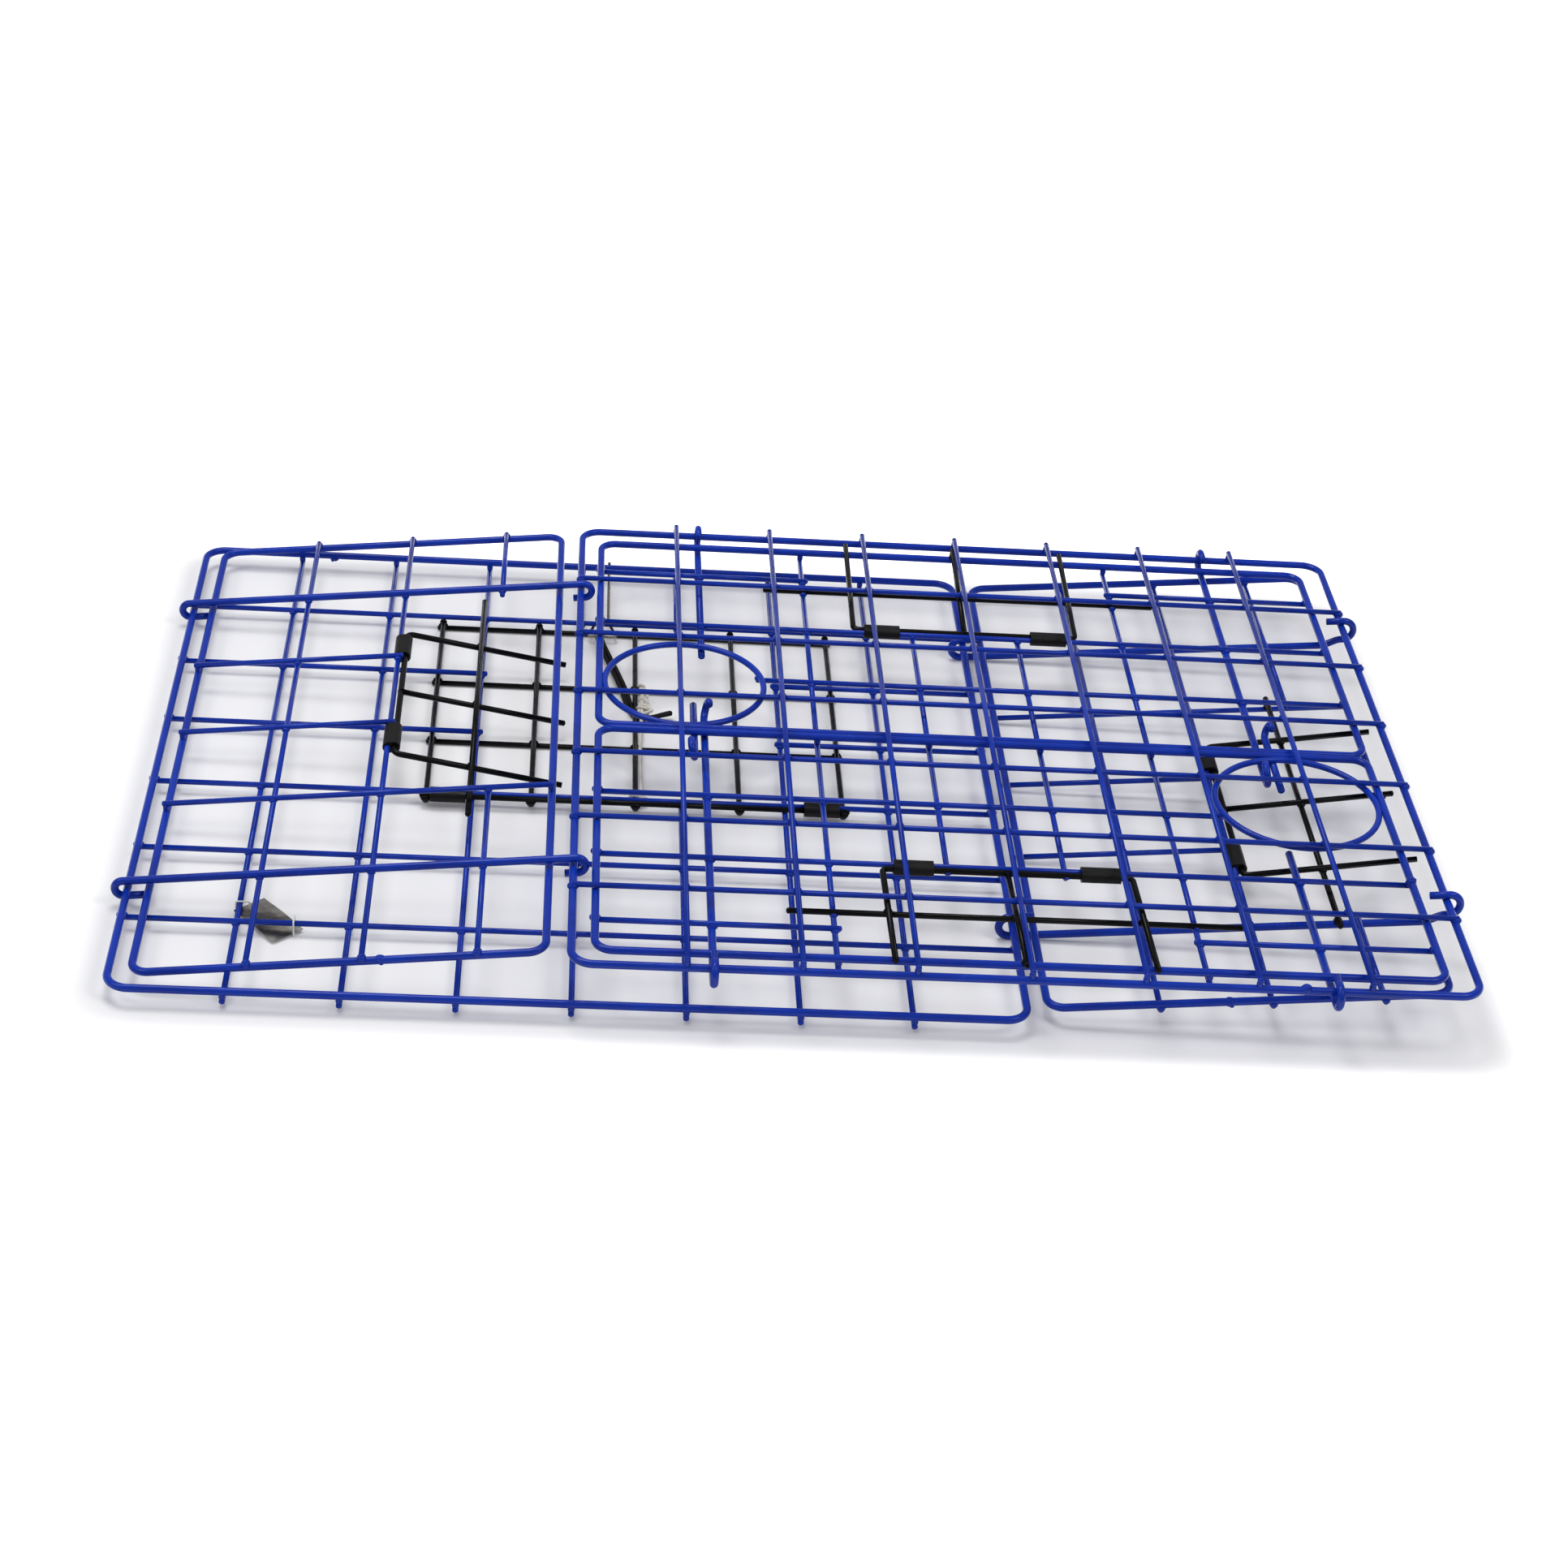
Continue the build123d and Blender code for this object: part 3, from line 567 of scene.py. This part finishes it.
def frames_along(line):
    """A point, a tangent and two carried-along normals for each point of a line."""
    side = None
    result = []
    for i, point in enumerate(line):
        tangent = (line[min(i + 1, len(line) - 1)] - line[max(i - 1, 0)]).normalized()
        if side is None:
            side = tangent.orthogonal().normalized()
        side = (side - tangent * side.dot(tangent)).normalized()
        result.append((point, tangent, side, tangent.cross(side)))
    return result


def add_tube(mesh_data, line, radius, around=12):
    """A tube with rounded ends along a line; radius is a function of 0 to 1 along it."""
    spokes = [(math.cos(math.tau * k / around), math.sin(math.tau * k / around)) for k in range(around)]
    rings = []

    def add_ring(centre, side, other, size):
        rings.append([mesh_data.verts.new(centre + (side * c + other * s) * size) for c, s in spokes])

    last = len(line) - 1
    for i, (point, tangent, side, other) in enumerate(frames_along(line)):
        r = radius(i / last)
        if i == 0:
            for back, shrink in ((0.7, 0.4), (0.45, 0.8)):
                add_ring(point - tangent * r * back, side, other, r * shrink)
        add_ring(point, side, other, r)
        if i == last:
            for forth, shrink in ((0.45, 0.8), (0.7, 0.4)):
                add_ring(point + tangent * r * forth, side, other, r * shrink)
    for first, second in zip(rings, rings[1:]):
        for k in range(around):
            n = (k + 1) % around
            mesh_data.faces.new((first[k], first[n], second[n], second[k]))
    mesh_data.faces.new(rings[0][::-1])
    mesh_data.faces.new(rings[-1])


def middles(name, axis):
    """The middles of the boxes of a node's solids along one axis, in order."""
    return sorted((wire.low[axis] + wire.high[axis]) / 2 for wire in wires if wire.node is nodes[name])


def length_of(line):
    return sum((b - a).length for a, b in zip(line, line[1:]))


door_column = middles("door_columns", 0)[2]
third_row, second_row = middles("door_rows", 1)[-3:-1]
column_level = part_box("door_columns")[0].z + DOOR_WIRE_RADIUS
row_level = column_level - 2 * DOOR_WIRE_RADIUS
hook_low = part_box("latch_hook")[0]
hook_line = door_column - HOOK_BESIDE
eye_y = hook_low.y + HOOK_RADIUS
hook_level = hook_low.z + HOOK_RADIUS
crimp = sum(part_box("cord_crimp"), Vector()) / 2
cotton_low, cotton_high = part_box("cotton_cord")
cotton_x = (cotton_low.x + cotton_high.x) / 2


def rubber_cord():
    """A doubled rubber cord round the hook's eye and through the crimp, stretched by the hook."""
    under = column_level - 3.35 * MM
    over = row_level + 3.35 * MM
    eye_x = hook_line + 2.0 * MM
    # Middle of the doubled cord from the eye to the crimp, and how far its strands part along X and Y
    middle = [
        (eye_x + 2.2 * MM, eye_y - 8.0 * MM, hook_level - 0.5 * MM, 1.0, 0.2),
        (eye_x + 4.0 * MM, eye_y - 16.0 * MM, hook_level - 1.0 * MM, 1.0, 0.3),
        (door_column - 8.6 * MM, second_row - 3.5 * MM, over, 1.0, 0.3),
        (door_column - 4.4 * MM, second_row - 26.0 * MM, under, 1.0, 0.3),
        (door_column + 1.5 * MM, second_row - 41.0 * MM, under, 0.4, 0.9),
        (crimp.x - 4.5 * MM, crimp.y, crimp.z, 0.0, 1.0),
        (crimp.x + 0.5 * MM, crimp.y, crimp.z, 0.0, 1.0),
    ]
    right, left = (
        [Vector((x + side * part_x, y + side * part_y, z)) for x, y, z, part_x, part_y in middle]
        for side in (LOOP_HALF, -LOOP_HALF)
    )
    eye = [
        Vector((eye_x + 1.2 * MM, eye_y + LOOP_TURN, hook_level + 2.4 * MM)),
        Vector((eye_x - 0.6 * MM, eye_y + LOOP_TURN, hook_level - 2.4 * MM)),
    ]
    line = smooth_line(right[::-1] + eye + left)
    data = bmesh.new()
    add_tube(data, line, lambda t: LOOP_RADIUS)
    piece = object_from("rubber_loop", data, MATERIALS["black_rubber"], None, "black_rubber")
    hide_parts("rubber_cord")
    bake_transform(piece)
    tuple(line[0])
    length_of(line)


def rubber_tails():
    """The two cut ends of the rubber cord, which spread and thicken past the crimp."""
    data = bmesh.new()
    for reach, side in ((8.0, 1), (-6.5, -1)):
        start = Vector((crimp.x - 2.5 * MM, crimp.y + side * LOOP_HALF, crimp.z))
        tip = Vector((crimp.x + 17.0 * MM, crimp.y + reach * MM, crimp.z + 1.5 * MM))
        bend = start.lerp(tip, 0.35) + Vector((0, -side * 1.2 * MM, 0))
        line = smooth_line([start, bend, start.lerp(tip, 0.75), tip])
        add_tube(data, line, lambda t: (1.75 + 0.45 * t) * MM)
    object_from("rubber_tails", data, MATERIALS["black_rubber"], "door", "black_rubber")


def twisted(data, line, strand_radius, spread, pitch, count=3):
    """Strands laid round a line."""
    distance = [0.0]
    for a, b in zip(line, line[1:]):
        distance.append(distance[-1] + (b - a).length)
    for k in range(count):
        strand = []
        for (point, _, side, other), s in zip(frames_along(line), distance):
            angle = math.tau * (s / pitch + k / count)
            strand.append(point + (side * math.cos(angle) + other * math.sin(angle)) * spread)
        add_tube(data, strand, lambda t: strand_radius, around=8)


def cotton_cord():
    """A laid cotton cord from the door's second row, past the crimp, to its hinge row."""
    z = row_level + 3.3 * MM
    controls = [
        (cotton_x, second_row + 4.0 * MM, z),
        (cotton_x + 1.5 * MM, second_row - 12.0 * MM, z + 1.5 * MM),
        (cotton_x + 1.0 * MM, crimp.y + 9.0 * MM, z + 2.2 * MM),
        (cotton_x, crimp.y - 12.0 * MM, z + 1.6 * MM),
        (cotton_x - 0.8 * MM, third_row + 10.0 * MM, z),
        (cotton_x - 0.8 * MM, third_row - 20.0 * MM, z),
        (cotton_x, cotton_low.y + 3.0 * MM, z + 0.4 * MM),
    ]
    line = smooth_line([Vector(c) for c in controls], 40)
    data = bmesh.new()
    twisted(data, line, STRAND, STRAND_SPREAD, STRAND_PITCH)
    piece = object_from("cotton_cord_laid", data, MATERIALS["white_cotton"], "door", "white_cotton")
    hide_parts("cotton_cord")
    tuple(line[0])
    length_of(line)


def knot(name, centre, size, turns, lean):
    """A tight knot: one cord wound over itself into a small bundle. size and lean are in millimetres."""
    size = Vector(size) * MM
    lean = Vector(lean) * MM
    line = []
    steps = KNOT_STEPS * turns
    for i in range(steps + 1):
        t = i / steps
        around = math.tau * turns * t
        tilt = math.pi * t * (turns - 0.5)
        across, lift = math.sin(around) * math.cos(tilt), math.sin(around) * math.sin(tilt)
        ring = Vector((math.cos(around), across, lift))
        offset = Vector((0.25 * math.sin(3 * around), 0.2 * math.cos(2 * around), 0.0))
        line.append(centre + ring * size + offset * size.x + lean * (t - 0.5))
    data = bmesh.new()
    twisted(data, line, KNOT_STRAND, KNOT_SPREAD, KNOT_PITCH)
    object_from(name, data, MATERIALS["white_cotton"], "door", "white_cotton")


def knots():
    """Each one's place, its half sizes, its turns and how far it leans along the cord."""
    places = (
        ("knot_on_row", (0, second_row, 3.0), (2.4, 3.4, 2.8), 3, (0, 0, 0)),
        ("knot_above_crimp", (2.0, crimp.y + 21.0 * MM, 4.5), (2.6, 7.0, 2.4), 3, (0, -12, 0)),
        ("knot_at_crimp", (2.5, crimp.y + 7.5 * MM, 5.0), (4.2, 5.0, 2.6), 4, (3, -4, 0)),
        ("knot_on_hinge_row", (-3.0, cotton_low.y + 4.0 * MM, 3.4), (4.6, 4.0, 2.6), 4, (2, 0, 0)),
    )
    for name, (right, y, rise), size, turns, lean in places:
        knot(name, Vector((cotton_x + right * MM, y, row_level + rise * MM)), size, turns, lean)


rubber_cord()
rubber_tails()
cotton_cord()
knots()


# ---------------------------------------------------------------- stage, light and camera

def floor_glow(tree):
    """A faint glow round the crate, rising to plain white further out, and only where it is seen or mirrored.
    """
    place = tree.nodes.new("ShaderNodeTexCoord")
    shape = tree.nodes.new("ShaderNodeMapping")
    shape.inputs["Scale"].default_value = (1 / FLOOR_SPREAD[0], 1 / FLOOR_SPREAD[1], 0)
    fold = tree.nodes.new("ShaderNodeVectorMath")
    fold.operation = "ABSOLUTE"
    split = tree.nodes.new("ShaderNodeSeparateXYZ")
    distance = tree.nodes.new("ShaderNodeMath")
    distance.operation = "SMOOTH_MAX"
    distance.inputs[2].default_value = 0.15
    rise = tree.nodes.new("ShaderNodeMapRange")
    rise.interpolation_type = "SMOOTHSTEP"
    rise.inputs["From Min"].default_value = 0.97
    rise.inputs["From Max"].default_value = 1.12
    rise.inputs["To Min"].default_value = FLOOR_GLOW
    rise.inputs["To Max"].default_value = 1.0
    path = tree.nodes.new("ShaderNodeLightPath")
    seen = tree.nodes.new("ShaderNodeMath")
    seen.operation = "MAXIMUM"
    glow = tree.nodes.new("ShaderNodeMath")
    glow.operation = "MULTIPLY"
    tree.links.new(place.outputs["Object"], shape.inputs["Vector"])
    tree.links.new(shape.outputs["Vector"], fold.inputs[0])
    tree.links.new(fold.outputs["Vector"], split.inputs["Vector"])
    tree.links.new(split.outputs["X"], distance.inputs[0])
    tree.links.new(split.outputs["Y"], distance.inputs[1])
    tree.links.new(distance.outputs["Value"], rise.inputs["Value"])
    tree.links.new(path.outputs["Is Camera Ray"], seen.inputs[0])
    tree.links.new(path.outputs["Is Glossy Ray"], seen.inputs[1])
    tree.links.new(seen.outputs[0], glow.inputs[0])
    tree.links.new(rise.outputs[0], glow.inputs[1])
    return glow.outputs[0]


def floor():
    """White sweep. Round the crate it is lit and shaded as it falls; further out it glows to plain white."""
    mesh_data = bmesh.new()
    bmesh.ops.create_grid(mesh_data, x_segments=1, y_segments=1, size=FLOOR_HALF)
    mesh = bpy.data.meshes.new("floor")
    mesh_data.to_mesh(mesh)
    mesh_data.free()
    piece = bpy.data.objects.new("floor", mesh)
    piece.location.z = cad_low[2] - COAT
    bpy.context.scene.collection.objects.link(piece)
    material, tree, shader = new_material("white_floor", (0.80, 0.80, 0.81), 0.7, specular=0.1)
    shader.inputs["Emission Color"].default_value = (1, 1, 1, 1)
    tree.links.new(floor_glow(tree), shader.inputs["Emission Strength"])
    mesh.materials.append(material)


def world():
    """White where the camera sees it, softer as a light."""
    sky = bpy.data.worlds.new("studio")
    bpy.context.scene.world = sky
    sky.use_nodes = True
    tree = sky.node_tree
    back = tree.nodes["Background"]
    back.inputs["Color"].default_value = (1, 1, 1, 1)
    path = tree.nodes.new("ShaderNodeLightPath")
    seen = tree.nodes.new("ShaderNodeMath")
    seen.operation = "MAXIMUM"
    strength = tree.nodes.new("ShaderNodeMapRange")
    strength.inputs["To Min"].default_value = WORLD_LIGHT
    strength.inputs["To Max"].default_value = 1.0
    tree.links.new(path.outputs["Is Camera Ray"], seen.inputs[0])
    tree.links.new(path.outputs["Is Transmission Ray"], seen.inputs[1])
    tree.links.new(seen.outputs[0], strength.inputs["Value"])
    tree.links.new(strength.outputs[0], back.inputs["Strength"])


def area_light(name, place, size, power):
    """A square lamp that points at the middle of the floor."""
    lamp = bpy.data.lights.new(name, "AREA")
    lamp.energy = power
    lamp.size = size
    lamp_object = bpy.data.objects.new(name, lamp)
    lamp_object.location = place
    lamp_object.rotation_euler = (-Vector(place)).to_track_quat("-Z", "Y").to_euler()
    bpy.context.scene.collection.objects.link(lamp_object)


def camera():
    """A long lens from the front, above the crate, turned and rolled by a few degrees."""
    pitch, yaw, roll = (math.radians(angle) for angle in CAMERA_TURN)
    forward = Vector((math.sin(yaw) * math.cos(pitch), math.cos(yaw) * math.cos(pitch), -math.sin(pitch)))
    flat_right = Vector((math.cos(yaw), -math.sin(yaw), 0))
    flat_up = flat_right.cross(forward)
    right = flat_right * math.cos(roll) + flat_up * math.sin(roll)
    up = flat_up * math.cos(roll) - flat_right * math.sin(roll)
    data = bpy.data.cameras.new("camera")
    data.lens = LENS
    data.sensor_width = SENSOR
    piece = bpy.data.objects.new("camera", data)
    turn = Matrix((right, up, -forward)).transposed().to_4x4()
    corner = Vector((base_low.x + FRAME_RADIUS, base_low.y + FRAME_RADIUS, (base_low.z + base_high.z) / 2))
    piece.matrix_world = Matrix.Translation(corner + Vector(CAMERA_AT)) @ turn
    bpy.context.scene.collection.objects.link(piece)
    bpy.context.scene.camera = piece


floor()
world()
area_light("key", (-0.5, 0.5, 2.4), 1.1, 27.0)
area_light("fill", (1.5, -0.9, 2.2), 1.0, 15.0)
area_light("rim", (-1.7, -0.5, 1.9), 1.0, 10.0)
camera()
bpy.context.scene.view_settings.view_transform = "Standard"
